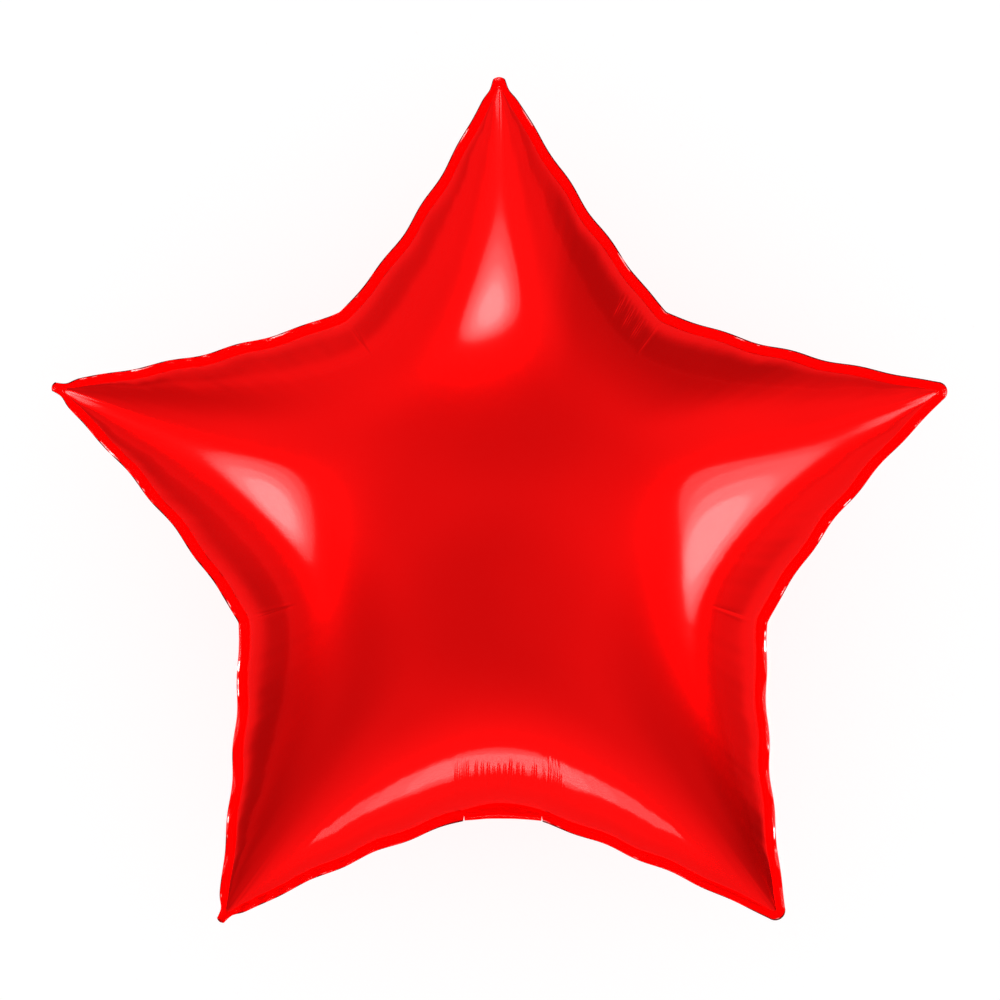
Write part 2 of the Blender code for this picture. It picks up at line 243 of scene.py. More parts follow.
# Where the room is brighter or darker: tilt, azimuth, and by how much. Each fades out over the same angle.
ROOM_GLOWS = (
    (20, 270, -0.13), (30, 330, 0.08), (40, 90, -0.13), (60, 165, 0.14), (60, 210, -0.20), (60, 330, -0.21),
    (70, 180, -0.08), (70, 30, 0.20), (70, 60, 0.05), (70, 90, 0.34), (75, 126, 0.10), (78, 196, 0.12),
    (80, 270, 0.19), (90, 150, 0.11),
)
GLOW_INNER = 9
GLOW_OUTER = 32
FLOOR_SIZE = 16
FLOOR_WHITE = 0.95
FLOOR_GLOW = 0.8
FLOOR_STRENGTH = 1.08
# Black nets, which only the film's gloss shows: how much they darken what it mirrors there.
# On the floor: azimuth, degrees to each side, how dark, the radii over which it gets so dark, and those over
# which it fades again
FloorNet = namedtuple("FloorNet", "azimuth spread dark rise fall")
FLOOR_NETS = (
    FloorNet(188, 42, 0.38, (0.17, 0.40), (2.5, 4.0)),
    FloorNet(127, 14, 0.26, (0.19, 0.27), (0.45, 0.75)),
    FloorNet(50, 36, 0.28, (0.17, 0.33), (2.5, 4.0)),
)
NET_INNER = 0.15
NET_OUTER = 4.0
NET_LEVEL = 0.001
NET_RINGS = 30
NET_SECTORS = 120
# Upright ones: the middle of the foot, the azimuth that they stand across, and how dark the darkest part is
UprightNet = namedtuple("UprightNet", "name foot azimuth width height dark")
UPRIGHT_NETS = (
    UprightNet("left_point_net", (-0.28, 0.155), 140, 0.28, 0.25, 0.36),
    UprightNet("lower_left_net", (-0.215, -0.14), 192, 0.18, 0.25, 0.36),
    UprightNet("lower_right_net", (0.21, -0.19), 335, 0.17, 0.20, 0.50),
    UprightNet("right_net", (0.23, -0.13), 345, 0.17, 0.24, 0.32),
    UprightNet("notch_net", (0.13, 0.185), 54, 0.13, 0.32, 0.34),
)
NET_STEPS = 12
NET_SOFT_SIDE = 0.55
NET_SOFT_TOP = 0.5
NET_SOFT_FOOT = 0.05
SEEING_RAYS = ("Is Camera Ray", "Is Glossy Ray", "Is Transmission Ray")


def polar(radius, angle):
    return radius * np.array([math.cos(angle), math.sin(angle)])


def unit(vector):
    return vector / np.linalg.norm(vector)


def turned_left(vector):
    return np.array([-vector[1], vector[0]])


def fade(value, start, end):
    """A smooth step from 0 at start to 1 at end."""
    share = np.clip((value - start) / (end - start), 0, 1)
    return share * share * (3 - 2 * share)


# ---------------------------------------------------------------- the star's plan


def sharp_star():
    """Corners of the star with pointed tips, anticlockwise from the notch before the top point."""
    corners = []
    for number, point in enumerate(STAR):
        middle = FIRST_POINT + 2 * HALF_TURN * number
        notches = [polar(NOTCH_RADIUS, middle - HALF_TURN), polar(NOTCH_RADIUS, middle + HALF_TURN)]
        direction = polar(1, middle + math.radians(point.lean))
        reach = POINT_RADIUS + point.longer
        tip = reach * direction
        for _ in range(TIP_FIT_ROUNDS):
            half_angle = math.acos(unit(notches[0] - tip) @ unit(notches[1] - tip)) / 2
            tip = (reach + point.tip_round * (1 / math.sin(half_angle) - 1)) * direction
        corners += [notches[0], tip]
    return np.array(corners)


def moved_in(corners, inset):
    """The corners of an anticlockwise outline whose straight edges all move in by inset."""
    moved = []
    for number, corner in enumerate(corners):
        before = turned_left(unit(corner - corners[number - 1]))
        after = turned_left(unit(corners[(number + 1) % len(corners)] - corner))
        moved.append(corner + inset * (before + after) / (1 + before @ after))
    return np.array(moved)


def edge_stations(length, edge, at_neck):
    """Distances from the notch along an edge: close together at a crease, over the valve and at the tip."""
    near = [np.linspace(0, CREASE_REACH, CREASE_STEPS + 1)]
    if at_neck:
        half = NECK_WIDTH / 2
        near = [np.linspace(0, half, NECK_STEPS + 1), half + np.linspace(0, NECK_SLIT, SLIT_STEPS + 1)[1:]]
        near.append(np.linspace(half + NECK_SLIT, VALVE_REACH, VALVE_STEPS + 1)[1:])
    elif edge == WRINKLE_EDGE:
        near.append(np.linspace(CREASE_REACH, WRINKLE_SPAN[1], WRINKLE_STEPS + 1)[1:])
    middle = np.linspace(near[-1][-1], length - TIP_STRETCH, MIDDLE_STEPS + 1)
    tip = np.linspace(length - TIP_STRETCH, length, TIP_STEPS + 1)
    return np.concatenate([*near, middle[1:], tip[1:]])


def edge_offset(distance, length, sag, edge, at_neck):
    """How far an edge lies outside the straight line from notch to tip."""
    share = np.clip(distance / length, 0, 1)
    hump = np.sin(math.pi * share**EDGE_SKEW)
    scallops = np.sin(math.tau * distance / SCALLOP_PITCH + GOLDEN_ANGLE * edge)
    offset = SCALLOP_DEPTH * hump * scallops - sag * np.abs(hump) ** EDGE_FULLNESS
    if at_neck:
        from_neck = 2 * distance / NECK_WIDTH
        offset -= NECK_ARCH * from_neck * np.exp(1 - from_neck)
    return offset


def edges_at_neck(number):
    """Whether the edges before and after a point start at the neck."""
    return number == NECK_NOTCH, number == NECK_NOTCH - 1


def edge_points(notch, tip, outwards, end, sag, pinch, edge, at_neck):
    """One edge of a point, from its notch to where the tip's arc starts, and the distances along it."""
    length = np.linalg.norm(tip - notch) - end
    distance = edge_stations(length, edge, at_neck)
    offset = edge_offset(distance, length, sag, edge, at_neck)
    offset -= pinch * np.exp(-(((length - distance) / (TIP_STRETCH / 2) - 1) ** 2))
    return notch + np.outer(distance, unit(tip - notch)) + np.outer(offset, outwards), distance


def star_outline(inset, tip_round=None):
    """The star's outline, anticlockwise from the notch before the top point, one point for each column.

    Also returns how far along the margin each column is from its notch (less than 0 before the notch), and
    the number of the edge that it is on.
    """
    corners = moved_in(sharp_star(), inset)
    outline, from_notch, edges = [], [], []
    for number, point in enumerate(STAR):
        rounding = tip_round or point.tip_round
        pinch = 0 if tip_round else point.pinch
        notch, tip = corners[2 * number], corners[2 * number + 1]
        next_notch = corners[(2 * number + 2) % len(corners)]
        outwards = -turned_left(unit(tip - notch)), turned_left(unit(tip - next_notch))
        half_angle = math.acos(unit(notch - tip) @ unit(next_notch - tip)) / 2
        end = rounding / math.tan(half_angle)
        middle = tip + unit(unit(notch - tip) + unit(next_notch - tip)) * rounding / math.sin(half_angle)
        start = math.atan2(outwards[0][1], outwards[0][0])
        turn = np.linspace(start, start + math.pi - 2 * half_angle, ARC_STEPS + 1)[1:-1]
        arc = middle + rounding * np.stack([np.cos(turn), np.sin(turn)], axis=1)
        neck = edges_at_neck(number)
        edge = 2 * number
        before, up = edge_points(
            notch, tip, outwards[0], end, point.sag_before, pinch, edge, neck[0])
        after, down = edge_points(
            next_notch, tip, outwards[1], end, point.sag_after, pinch, edge + 1, neck[1])
        outline += [before, arc, after[:0:-1]]
        from_notch += [up, np.full(len(arc), up[-1]), -down[:0:-1]]
        edges += [np.full(len(before) + len(arc) // 2, edge)]
        edges += [np.full(len(arc) - len(arc) // 2 + len(after) - 1, edge + 1)]
    return np.concatenate(outline), np.concatenate(from_notch), np.concatenate(edges)


WELD, ALONG, EDGE = star_outline(MARGIN_WIDTH, WELD_TIP_ROUND)
COLUMNS = len(WELD)
NOTCH_COLUMNS = [int(k) for k in np.flatnonzero(ALONG == 0)]
NECK_COLUMN = NOTCH_COLUMNS[NECK_NOTCH]


def neck_distance():
    """How many columns lie between each column and the middle of the neck."""
    return np.abs((np.arange(COLUMNS) - NECK_COLUMN + COLUMNS // 2) % COLUMNS - COLUMNS // 2)


def margin_outline():
    """The cut edge of the margin. At the neck it is where the tail starts to fold."""
    cut = star_outline(0.0)[0]
    fold = star_outline(MARGIN_WIDTH - NECK_FLAT)[0]
    share = neck_distance() / NECK_STEPS
    rise = NECK_RISE * (1 - share**2)
    folded = fold + np.outer(rise, unit(fold[NECK_COLUMN]))
    return np.where((share <= 1)[:, None], folded, cut)


# ---------------------------------------------------------------- the swollen skin


def skin_rings():
    """Columns and plan of a skin's rings, from the weld line in to the ones inside the spot that rests."""
    directions = WELD / np.linalg.norm(WELD, axis=1)[:, None]
    circle = directions * CONTACT_DIAMETER / 2
    rings = [(np.arange(COLUMNS), WELD)]
    start = 0.0
    for zone in ZONES:
        columns = np.arange(0, COLUMNS, zone.every)
        for ring in range(1, zone.rings + 1):
            share = start + (zone.end - start) * (ring / zone.rings) ** zone.power
            rings.append((columns, (WELD * (1 - share) + circle * share)[columns]))
        start = zone.end
    columns = np.arange(0, COLUMNS, CROWN_EVERY)
    rings += [(columns, circle[columns] * (1 - ring / CROWN_RINGS)) for ring in range(1, CROWN_RINGS)]
    return rings


def band(outer, inner):
    """Faces between two rings of vertex numbers, facing up. The inner ring has as many, or half as many."""
    after = np.roll(outer, -1)
    if len(outer) == len(inner):
        return np.stack([outer, after, np.roll(inner, -1), inner], axis=1).tolist()
    even, odd, later = outer[::2], outer[1::2], np.roll(outer, -2)[::2]
    inner_after = np.roll(inner, -1)
    faces = np.concatenate([np.stack(three, axis=1) for three in (
        (even, odd, inner), (odd, inner_after, inner), (odd, later, inner_after))])
    return faces.tolist()


def numbered(rings):
    """Vertex numbers of each ring, and the number that comes after them."""
    numbers, first = [], 0
    for columns, _ in rings:
        numbers.append(np.arange(first, first + len(columns)))
        first += len(columns)
    return numbers, first


def skin_faces(numbers, middle):
    """Faces of a skin, facing up: the bands between its rings, and a fan round its middle."""
    faces = []
    for outer, inner in zip(numbers, numbers[1:]):
        faces += band(outer, inner)
    last = numbers[-1]
    return faces + [[int(a), int(b), middle] for a, b in zip(last, np.roll(last, -1))]


def membrane_sag(flat, faces, rim_count):
    """Sag of a film over the outline under even pressure: 0 on the rim, 1 at its deepest."""
    triangles = np.array([f[:3] for f in faces] + [[f[0], f[2], f[3]] for f in faces if len(f) == 4])
    sides = [flat[triangles[:, (k + 2) % 3]] - flat[triangles[:, (k + 1) % 3]] for k in range(3)]
    area = np.abs(sides[0][:, 0] * sides[1][:, 1] - sides[0][:, 1] * sides[1][:, 0]) / 2
    count = len(flat)
    pairs, weights = [], []
    for one, other in ((0, 1), (1, 2), (2, 0)):
        pairs.append(triangles[:, [one, other]])
        weights.append(-np.einsum("ij,ij->i", sides[one], sides[other]) / (4 * area))
    pairs, weights = np.concatenate(pairs), np.concatenate(weights)
    spread = [np.bincount(pairs[:, k], weights, count) for k in (0, 1)]
    diagonal = spread[0] + spread[1]
    load = sum(np.bincount(triangles[:, k], area / 3, count) for k in range(3))
    load[:rim_count] = 0

    def pull(sag):
        """How hard the film pulls back at each free point."""
        force = diagonal * sag
        force -= np.bincount(pairs[:, 0], weights * sag[pairs[:, 1]], count)
        force -= np.bincount(pairs[:, 1], weights * sag[pairs[:, 0]], count)
        force[:rim_count] = 0
        return force

    sag, rest = np.zeros(count), load.copy()
    step = rest / diagonal
    along = step.copy()
    score = rest @ step
    first_score = score
    while score > SAG_PRECISION * first_score:
        answer = pull(along)
        length = score / (along @ answer)
        sag += length * along
        rest -= length * answer
        step = rest / diagonal
        score, last_score = rest @ step, score
        along = step + along * score / last_score
    return sag / sag.max()


def notch_creases(flat):
    """A sharp fold that runs in from each notch: a groove with a small roll on one side."""
    height = np.zeros(len(flat))
    for column, depth in zip(NOTCH_COLUMNS, CREASE_DEPTH):
        inwards = unit(-WELD[column])
        distance = (flat - WELD[column]) @ inwards
        aside = (flat - WELD[column]) @ turned_left(inwards)
        share = fade(distance, 0, CREASE_RISE) * (1 - fade(distance, CREASE_LENGTH / 2, CREASE_LENGTH))
        width = CREASE_WIDTH * (1 - CREASE_NARROWING * fade(distance, 0, CREASE_LENGTH))
        roll = CREASE_ROLL * np.exp(-((aside / width - CREASE_ROLL_AT) ** 2))
        height -= depth * share * (np.exp(-np.abs(aside) / width) - roll)
    return height


def gather_chance(number):
    """A fixed value between 0 and 1 for each gather, scattered like chance."""
    return math.sin(12.9898 * number + 1) * 43758.5453 % 1


def wrinkle_chance(number):
    """A fixed value between 0 and 1 for each wrinkle."""
    return np.sin(number * 7.31 + 2) ** 2


def valve_gathers(flat, columns):
    """Fine gathers over the upper end of the valve's weld, each of its own length and depth."""
    height = np.zeros(len(flat))
    inwards = flat[:, 1] - WELD[NECK_COLUMN][1]
    over = (neck_distance()[columns] < NECK_STEPS + SLIT_STEPS + VALVE_STEPS) & (flat[:, 1] < 0)
    for number, place in enumerate(GATHERS):
        chance = gather_chance(number)
        width = GATHER_WIDTH * (GATHER_WIDTH_SHARES[0] + GATHER_WIDTH_SHARES[1] * chance)
        depth = GATHER_DEPTH * (GATHER_DEPTH_SHARES[0] + GATHER_DEPTH_SHARES[1] * chance)
        foot = GATHER_FOOT if GATHER_INNER[0] < place < GATHER_INNER[1] else GATHER_SIDE_FOOT
        end = GATHER_TOP + GATHER_TOP_SPREAD * (chance - 0.5)
        share = fade(inwards, *foot) * (1 - fade(inwards, end - GATHER_TOP_FADE, end))
        lean = (chance - 0.5) * GATHER_LEAN * (inwards - GATHER_TOP)
        aside = (flat[:, 0] - MILLIMETRE * place - lean) / width
        groove = np.exp(-(aside**2)) - GATHER_ROLL * np.exp(-((np.abs(aside) - GATHER_ROLL_AT) ** 2))
        height -= depth * share * groove
    return np.where(over, height, 0)


def notch_wrinkles(flat, columns):
    """Short wrinkles beside one notch, side by side and square to the edge, each of its own depth."""
    along = ALONG[columns]
    inwards = np.linalg.norm(flat - WELD[columns], axis=1)
    number = np.floor(along / WRINKLE_PITCH)
    chance = wrinkle_chance(number)
    wave = np.sin(math.tau * (along / WRINKLE_PITCH + WRINKLE_SHIFT_ALONG * chance))
    near = fade(along, WRINKLE_SPAN[0], WRINKLE_SPAN[0] + WRINKLE_PITCH)
    near *= 1 - fade(along, WRINKLE_SPAN[1] - WRINKLE_PITCH, WRINKLE_SPAN[1])
    shift = WRINKLE_SHIFT_IN * (chance - 0.5)
    start, full, fading, end = WRINKLE_REACH
    share = fade(inwards - shift, start, full) * (1 - fade(inwards - shift, fading, end))
    height = WRINKLE_DEPTH * (WRINKLE_LEAST + chance) * wave * near * share
    return np.where(EDGE[columns] == WRINKLE_EDGE, height, 0)


def weld_puckers(flat, columns):
    """Soft puckers that the weld pulls into the skin all along the edges, fading towards notches and tips."""
    inwards = np.linalg.norm(flat - WELD[columns], axis=1)
    along = np.abs(ALONG[columns])
    phase = GOLDEN_ANGLE * EDGE[columns]
    wave = np.sin(math.tau * along / PUCKER_PITCH + phase)
    wave += FINE_PUCKERS * np.sin(math.tau * along / FINE_PUCKER_PITCH + 2 * phase)
    clear = fade(along, CREASE_REACH, PUCKER_CLEARANCE * CREASE_REACH)
    clear *= np.where(neck_distance()[columns] < NECK_STEPS + SLIT_STEPS, 0, 1)
    return PUCKER_DEPTH * wave * clear * fade(inwards, 0, PUCKER_RISE) * np.exp(-inwards / PUCKER_REACH)


def margin_wave(share):
    """Height of the wavy margin over the middle plane, share of the way from the weld to the cut edge."""
    along = np.arctan2(WELD[:, 1], WELD[:, 0]) * np.linalg.norm(WELD, axis=1)
    calm = np.clip(neck_distance() / NECK_STEPS - 1, 0, 1)
    wave = MARGIN_WAVE * np.sin(math.tau * along / MARGIN_WAVE_PITCH)
    ripple_pitch = MARGIN_RIPPLE_PITCH * MARGIN_WAVE_PITCH
    ripple = MARGIN_RIPPLE * MARGIN_WAVE * np.sin(math.tau * along / ripple_pitch)
    grown = MARGIN_WAVE_AT_WELD + (1 - MARGIN_WAVE_AT_WELD) * share
    return calm * ((wave + ripple * share) * grown - MARGIN_DROOP * share**2)


def tail_path(points, faces):
    """Middle line of the folded tail as (y, z) points, from where its bend behind the notch ends to its end."""
    tree = BVHTree.FromPolygons(points.tolist(), faces)
    edge = WELD[NECK_COLUMN + NECK_STEPS]
    skin = [(edge[1], 0.0)]
    for probe in range(1, SKIN_PROBES):
        y = edge[1] + 2 * TAIL_LENGTH * (probe / SKIN_PROBES) ** 2
        place, _, _, _ = tree.ray_cast(Vector((edge[0], y, -1)), Vector((0, 0, 1)))
        if place is not None:
            skin.append((y, place.z))
    skin = np.array(skin)
    along = np.concatenate([[0], np.cumsum(np.linalg.norm(np.diff(skin, axis=0), axis=1))])
    path = []
    for distance in np.linspace(2 * FOLD_RADIUS, TAIL_LENGTH, TAIL_STATIONS):
        place = np.array([np.interp(distance, along, skin[:, axis]) for axis in (0, 1)])
        ahead = np.array([np.interp(distance + FOLD_RADIUS, along, skin[:, axis]) for axis in (0, 1)])
        away = -turned_left(unit(ahead - place))
        slack = FOLD_RADIUS * (1 - fade(distance, 0, TAIL_LOOSE_LENGTH))
        path.append(place + away * (TAIL_GAP + FILM_THICKNESS + slack))
    return path


class Film:
    """Points and faces of the balloon's film, as they are added."""

    def __init__(self):
        self.points, self.faces, self.count = [], [], 0

    def add(self, points):
        """Adds a row of points and returns their numbers."""
        self.points.append(np.asarray(points, dtype=float))
        self.count += len(points)
        return np.arange(self.count - len(points), self.count)

    def strip(self, outer, inner):
        """Quads between two open rows. They face up where the rows run anticlockwise round the star."""
        self.faces += np.stack([outer[:-1], outer[1:], inner[1:], inner[:-1]], axis=1).tolist()

    def corners(self):
        return np.concatenate(self.points)


def add_skin(film, rings, heights, upwards):
    """Adds one skin and returns the numbers of its rim."""
    waves = margin_wave(0)
    numbers = []
    for ring, ((columns, flat), height) in enumerate(zip(rings, heights)):
        lift = waves[columns] * (1 - fade(ring, 0, WAVED_RINGS))
        level = upwards * (height + FILM_THICKNESS / 2) + lift
        numbers.append(film.add(np.column_stack([flat, level])))
    crown = film.add([(0, 0, upwards * (heights[-1].max() + FILM_THICKNESS / 2))])[0]
    faces = skin_faces(numbers, int(crown))
    film.faces += faces if upwards > 0 else [face[::-1] for face in faces]
    return numbers[0]


def add_margin(film, front_rim, back_rim, cut):
    """Adds both faces of the margin and its cut edge, apart from where the tail is. Returns the two edges."""
    edges = []
    for rim, upwards in ((front_rim, 1), (back_rim, -1)):
        last = rim
        for row in range(1, MARGIN_ROWS + 1):
            share = row / MARGIN_ROWS
            flat = WELD * (1 - share) + cut * share
            level = margin_wave(share) + upwards * FILM_THICKNESS / 2
            here = film.add(np.column_stack([flat, level]))
            faces = band(here, last)
            film.faces += faces if upwards > 0 else [face[::-1] for face in faces]
            last = here
        edges.append(last)
    top, low = edges
    tail = neck_distance() <= NECK_STEPS
    open_edge = ~(tail & np.roll(tail, -1))
    sides = np.stack([np.roll(top, -1), top, low, np.roll(low, -1)], axis=1)
    film.faces += sides[open_edge].tolist()
    return top, low


def add_tail(film, top, low, back_points, back_faces):
    """Folds the tail from the neck's part of the margin round to the back."""
    columns = np.arange(NECK_COLUMN - NECK_STEPS, NECK_COLUMN + NECK_STEPS + 1)
    corners = film.corners()
    edge = corners[top[columns]]
    bend_start = np.array([edge[-1][1], 0.0])
    quarter = np.linspace(0, math.pi / 2, FOLD_STATIONS + 1)
    bend = [bend_start + FOLD_RADIUS * np.array([-math.sin(a), math.cos(a) - 1]) for a in quarter]
    line = [*bend, *tail_path(back_points, back_faces)]
    neck_half = abs(WELD[NECK_COLUMN + NECK_STEPS][0])
    last_outer, last_inner = top[columns], low[columns]
    travelled = 0.0
    for station in range(1, len(line)):
        here, last = line[station], line[station - 1]
        ahead = line[min(station + 1, len(line) - 1)]
        travelled += np.linalg.norm(here - last)
        away = -turned_left(unit(ahead - last)) * FILM_THICKNESS / 2
        narrow = 1 + (TAIL_END_WIDTH / 2 / neck_half - 1) * min(1.0, travelled / TAIL_LENGTH)
        arch = (edge[:, 1] - bend_start[0]) * (1 - fade(travelled, 0, TAIL_ARCH_END))
        rows = []
        for sign in (1, -1):
            y, z = here + sign * away
            rows.append(film.add(np.column_stack([edge[:, 0] * narrow, y + arch, np.full(len(columns), z)])))
        outer, inner = rows
        film.strip(outer, last_outer)
        film.strip(last_inner, inner)
        film.faces.append([int(k) for k in (outer[0], last_outer[0], last_inner[0], inner[0])])
        film.faces.append([int(k) for k in (inner[-1], last_inner[-1], last_outer[-1], outer[-1])])
        last_outer, last_inner = outer, inner
    film.strip(last_inner, last_outer)


def mark(mesh, name, values):
    """Gives each point of a mesh its value of an attribute that a material reads."""
    mesh.attributes.new(name, "FLOAT", "POINT").data.foreach_set("value", values)


def make_balloon():
    """The whole balloon as one closed film: swollen front and back, welded margin and folded tail."""
    rings = skin_rings()
    numbers, middle = numbered(rings)
    plan = np.concatenate([flat for _, flat in rings] + [np.zeros((1, 2))])
    faces = skin_faces(numbers, middle)
    height = HALF_DEPTH * membrane_sag(plan, faces, COLUMNS) ** CROWN_POWER
    rest_ring = sum(zone.rings for zone in ZONES)
    contact_depth = height[numbers[rest_ring]].max()

    film = Film()
    heights = [height[k] for k in numbers]
    front = add_skin(film, rings, heights, 1)
    coarse = [k for k in range(len(rings)) if k > ZONES[0].rings or k % 2 == 0]
    back_rings = [rings[k] for k in coarse]
    back_start = film.count
    face_start = len(film.faces)
    back = add_skin(film, back_rings, [np.minimum(heights[k], contact_depth) for k in coarse], -1)
    back_points = film.corners()[back_start:]
    back_faces = [[k - back_start for k in face] for face in film.faces[face_start:]]
    top, low = add_margin(film, front, back, margin_outline())
    add_tail(film, top, low, back_points, back_faces)

    mesh = bpy.data.meshes.new("foil_star")
    mesh.from_pydata(film.corners().tolist(), [], film.faces)
    welded = np.ones(film.count)
    welded[front[-1] + 1 : back_start] = 0
    welded[back[-1] + 1 : back_start + len(back_points)] = 0
    mark(mesh, "welded", welded)
    cut = np.zeros(film.count)
    cut[np.concatenate([top, low])] = np.tile(neck_distance() > NECK_STEPS, 2)
    mark(mesh, "cut", cut)
    mesh.update()
    press_relief(mesh, rings, 0)
    press_relief(mesh, back_rings, back_start)
    mesh.transform(Matrix.Translation((0, 0, contact_depth + FILM_THICKNESS / 2)))
    mesh.shade_smooth()
    mesh.set_sharp_from_angle(angle=math.radians(SHARP_ANGLE))
    balloon = bpy.data.objects.new("foil_star", mesh)
    bpy.context.scene.collection.objects.link(balloon)
    return balloon


def press_relief(mesh, rings, first):
    """Moves a skin's points along their normals for its creases, gathers, puckers and wrinkles."""
    count = sum(len(columns) for columns, _ in rings)
    points = np.empty(len(mesh.vertices) * 3)
    normals = np.empty(len(mesh.vertices) * 3)
    mesh.vertices.foreach_get("co", points)
    mesh.vertices.foreach_get("normal", normals)
    points, normals = points.reshape(-1, 3), normals.reshape(-1, 3)
    columns = np.concatenate([columns for columns, _ in rings])
    flat = np.concatenate([flat for _, flat in rings])
    height = notch_creases(flat) + valve_gathers(flat, columns) + weld_puckers(flat, columns)
    height += notch_wrinkles(flat, columns)
    height[: len(rings[0][0])] = 0
    points[first : first + count] += normals[first : first + count] * height[:, None]
    mesh.vertices.foreach_set("co", points.ravel())
    mesh.update()


# ---------------------------------------------------------------- materials


class Wire:
    """A socket of a material, so that shader maths reads as plain maths."""

    def __init__(self, tree, socket=None):
        self.tree, self.socket = tree, socket

    def node(self, kind, settings=None, inputs=None, output=0):
        """Adds a node of a kind, sets it, feeds its inputs with values or wires, and returns one output."""
        node = self.tree.nodes.new(kind)
        for name, value in (settings or {}).items():
            setattr(node, name, value)
        for name, value in (inputs or {}).items():
            if isinstance(value, Wire):
                self.tree.links.new(value.socket, node.inputs[name])
            else:
                node.inputs[name].default_value = value
        return Wire(self.tree, node.outputs[output])

    def maths(self, operation, *values):
        return self.node("ShaderNodeMath", {"operation": operation}, dict(enumerate(values)))

    def __add__(self, other):
        return self.maths("ADD", self, other)

    __radd__ = __add__

    def __mul__(self, other):
        return self.maths("MULTIPLY", self, other)

    __rmul__ = __mul__

    def __sub__(self, other):
        return self.maths("SUBTRACT", self, other)

    def __rsub__(self, other):
        return self.maths("SUBTRACT", other, self)

    def mixed(self, share, first, second):
        """A colour that goes from first to second with share."""
        return self.node("ShaderNodeMix", {"data_type": "RGBA"}, {0: share, 6: first, 7: second}, output=2)

    def step(self, start, end, low=0.0, high=1.0):
        """A smooth step from low to high, as this goes from start to end."""
        values = {"Value": self, "From Min": start, "From Max": end, "To Min": low, "To Max": high}
        return self.node("ShaderNodeMapRange", {"interpolation_type": "SMOOTHSTEP"}, values)


def new_material(name):
    """An empty node material: returns it, its output node and a loose wire to add nodes with."""
    material = bpy.data.materials.new(name)
    material.use_nodes = True
    material.node_tree.nodes.clear()
    output = material.node_tree.nodes.new("ShaderNodeOutputMaterial")
    return material, output, Wire(material.node_tree)


def red_film():
    """Deep red metallised film under its clear ply, with a painted shade line and small painted pink highlights
    at its cut edge.
    """
    material, output, wire = new_material("red_film")
    place = wire.node("ShaderNodeTexCoord", output=3)
    broad, fine, patches, specks = (
        wire.node("ShaderNodeTexNoise", {}, {"Vector": place, "Scale": scale, "Detail": detail})
        for scale, detail in FILM_NOISES)
    welded, cut = (
        wire.node("ShaderNodeAttribute", {"attribute_name": name}, output=2) for name in ("welded", "cut"))
    colour = wire.mixed(broad.step(*RED_STEP), *FILM_REDS)
    # Painted highlight: pink glints mixed into the colour along the cut edge
    painted_glints = specks.step(*PAINTED_GLINT_SPECKS) * patches.step(*PAINTED_GLINT_PATCHES) * cut.step(*PAINTED_GLINT_REACH)
    colour = wire.mixed(painted_glints, colour, PAINTED_GLINT_PINK)
    # Painted shade: the cut edge is darkened to a dark red line, broken in places
    dark = PAINTED_EDGE_SHADE_DARKNESS * cut.step(*PAINTED_EDGE_SHADE_REACH) * patches.step(*PAINTED_EDGE_SHADE_BREAKS)
    colour = wire.mixed(dark, colour, PAINTED_EDGE_SHADE_RED)
    height = fine * UNEVEN_FINE + broad
    bump = wire.node(
        "ShaderNodeBump", {}, {"Height": height, "Strength": UNEVEN_STRENGTH, "Distance": UNEVEN_HEIGHT})
    skin = wire.node("ShaderNodeBsdfPrincipled", {}, {
        "Base Color": colour,
        "Metallic": 1.0,
        "Roughness": FILM_ROUGHNESS + FINE_ROUGHNESS * fine + WELD_ROUGHNESS * welded,
        "Normal": bump,
        "Specular Tint": GLOSS_TINT,
        "Coat Weight": PLY - PLY_LOST_AT_WELD * welded,
        "Coat Roughness": PLY_ROUGHNESS,
        "Coat IOR": PLY_IOR,
    })
    material.node_tree.links.new(skin.socket, output.inputs["Surface"])
    return material


def pale_floor():
    """Matt white floor, which keeps the balloon's soft shadow."""
    material, output, wire = new_material("pale_floor")
    colour = (FLOOR_WHITE, FLOOR_WHITE, FLOOR_WHITE, 1)
    matt = wire.node("ShaderNodeBsdfDiffuse", {}, {"Color": colour})
    glow = wire.node("ShaderNodeEmission", {}, {"Color": (1, 1, 1, 1), "Strength": FLOOR_STRENGTH})
    seen = sum((wire.node("ShaderNodeLightPath", output=ray) for ray in SEEING_RAYS), 0)
    both = wire.node("ShaderNodeMixShader", {}, {0: FLOOR_GLOW * seen, 1: matt, 2: glow})
    material.node_tree.links.new(both.socket, output.inputs["Surface"])
    return material


def black_net():
    """Fine black net, as dark as the attribute says."""
    material, output, wire = new_material("black_net")
    shade = wire.node("ShaderNodeAttribute", {"attribute_name": "shade"}, output=2)
    gap = wire.node("ShaderNodeBsdfTransparent")
    thread = wire.node("ShaderNodeBsdfDiffuse", {}, {"Color": (0, 0, 0, 1)})
    both = wire.node("ShaderNodeMixShader", {}, {0: shade, 1: gap, 2: thread})
    material.node_tree.links.new(both.socket, output.inputs["Surface"])
    return material


# ---------------------------------------------------------------- light and camera


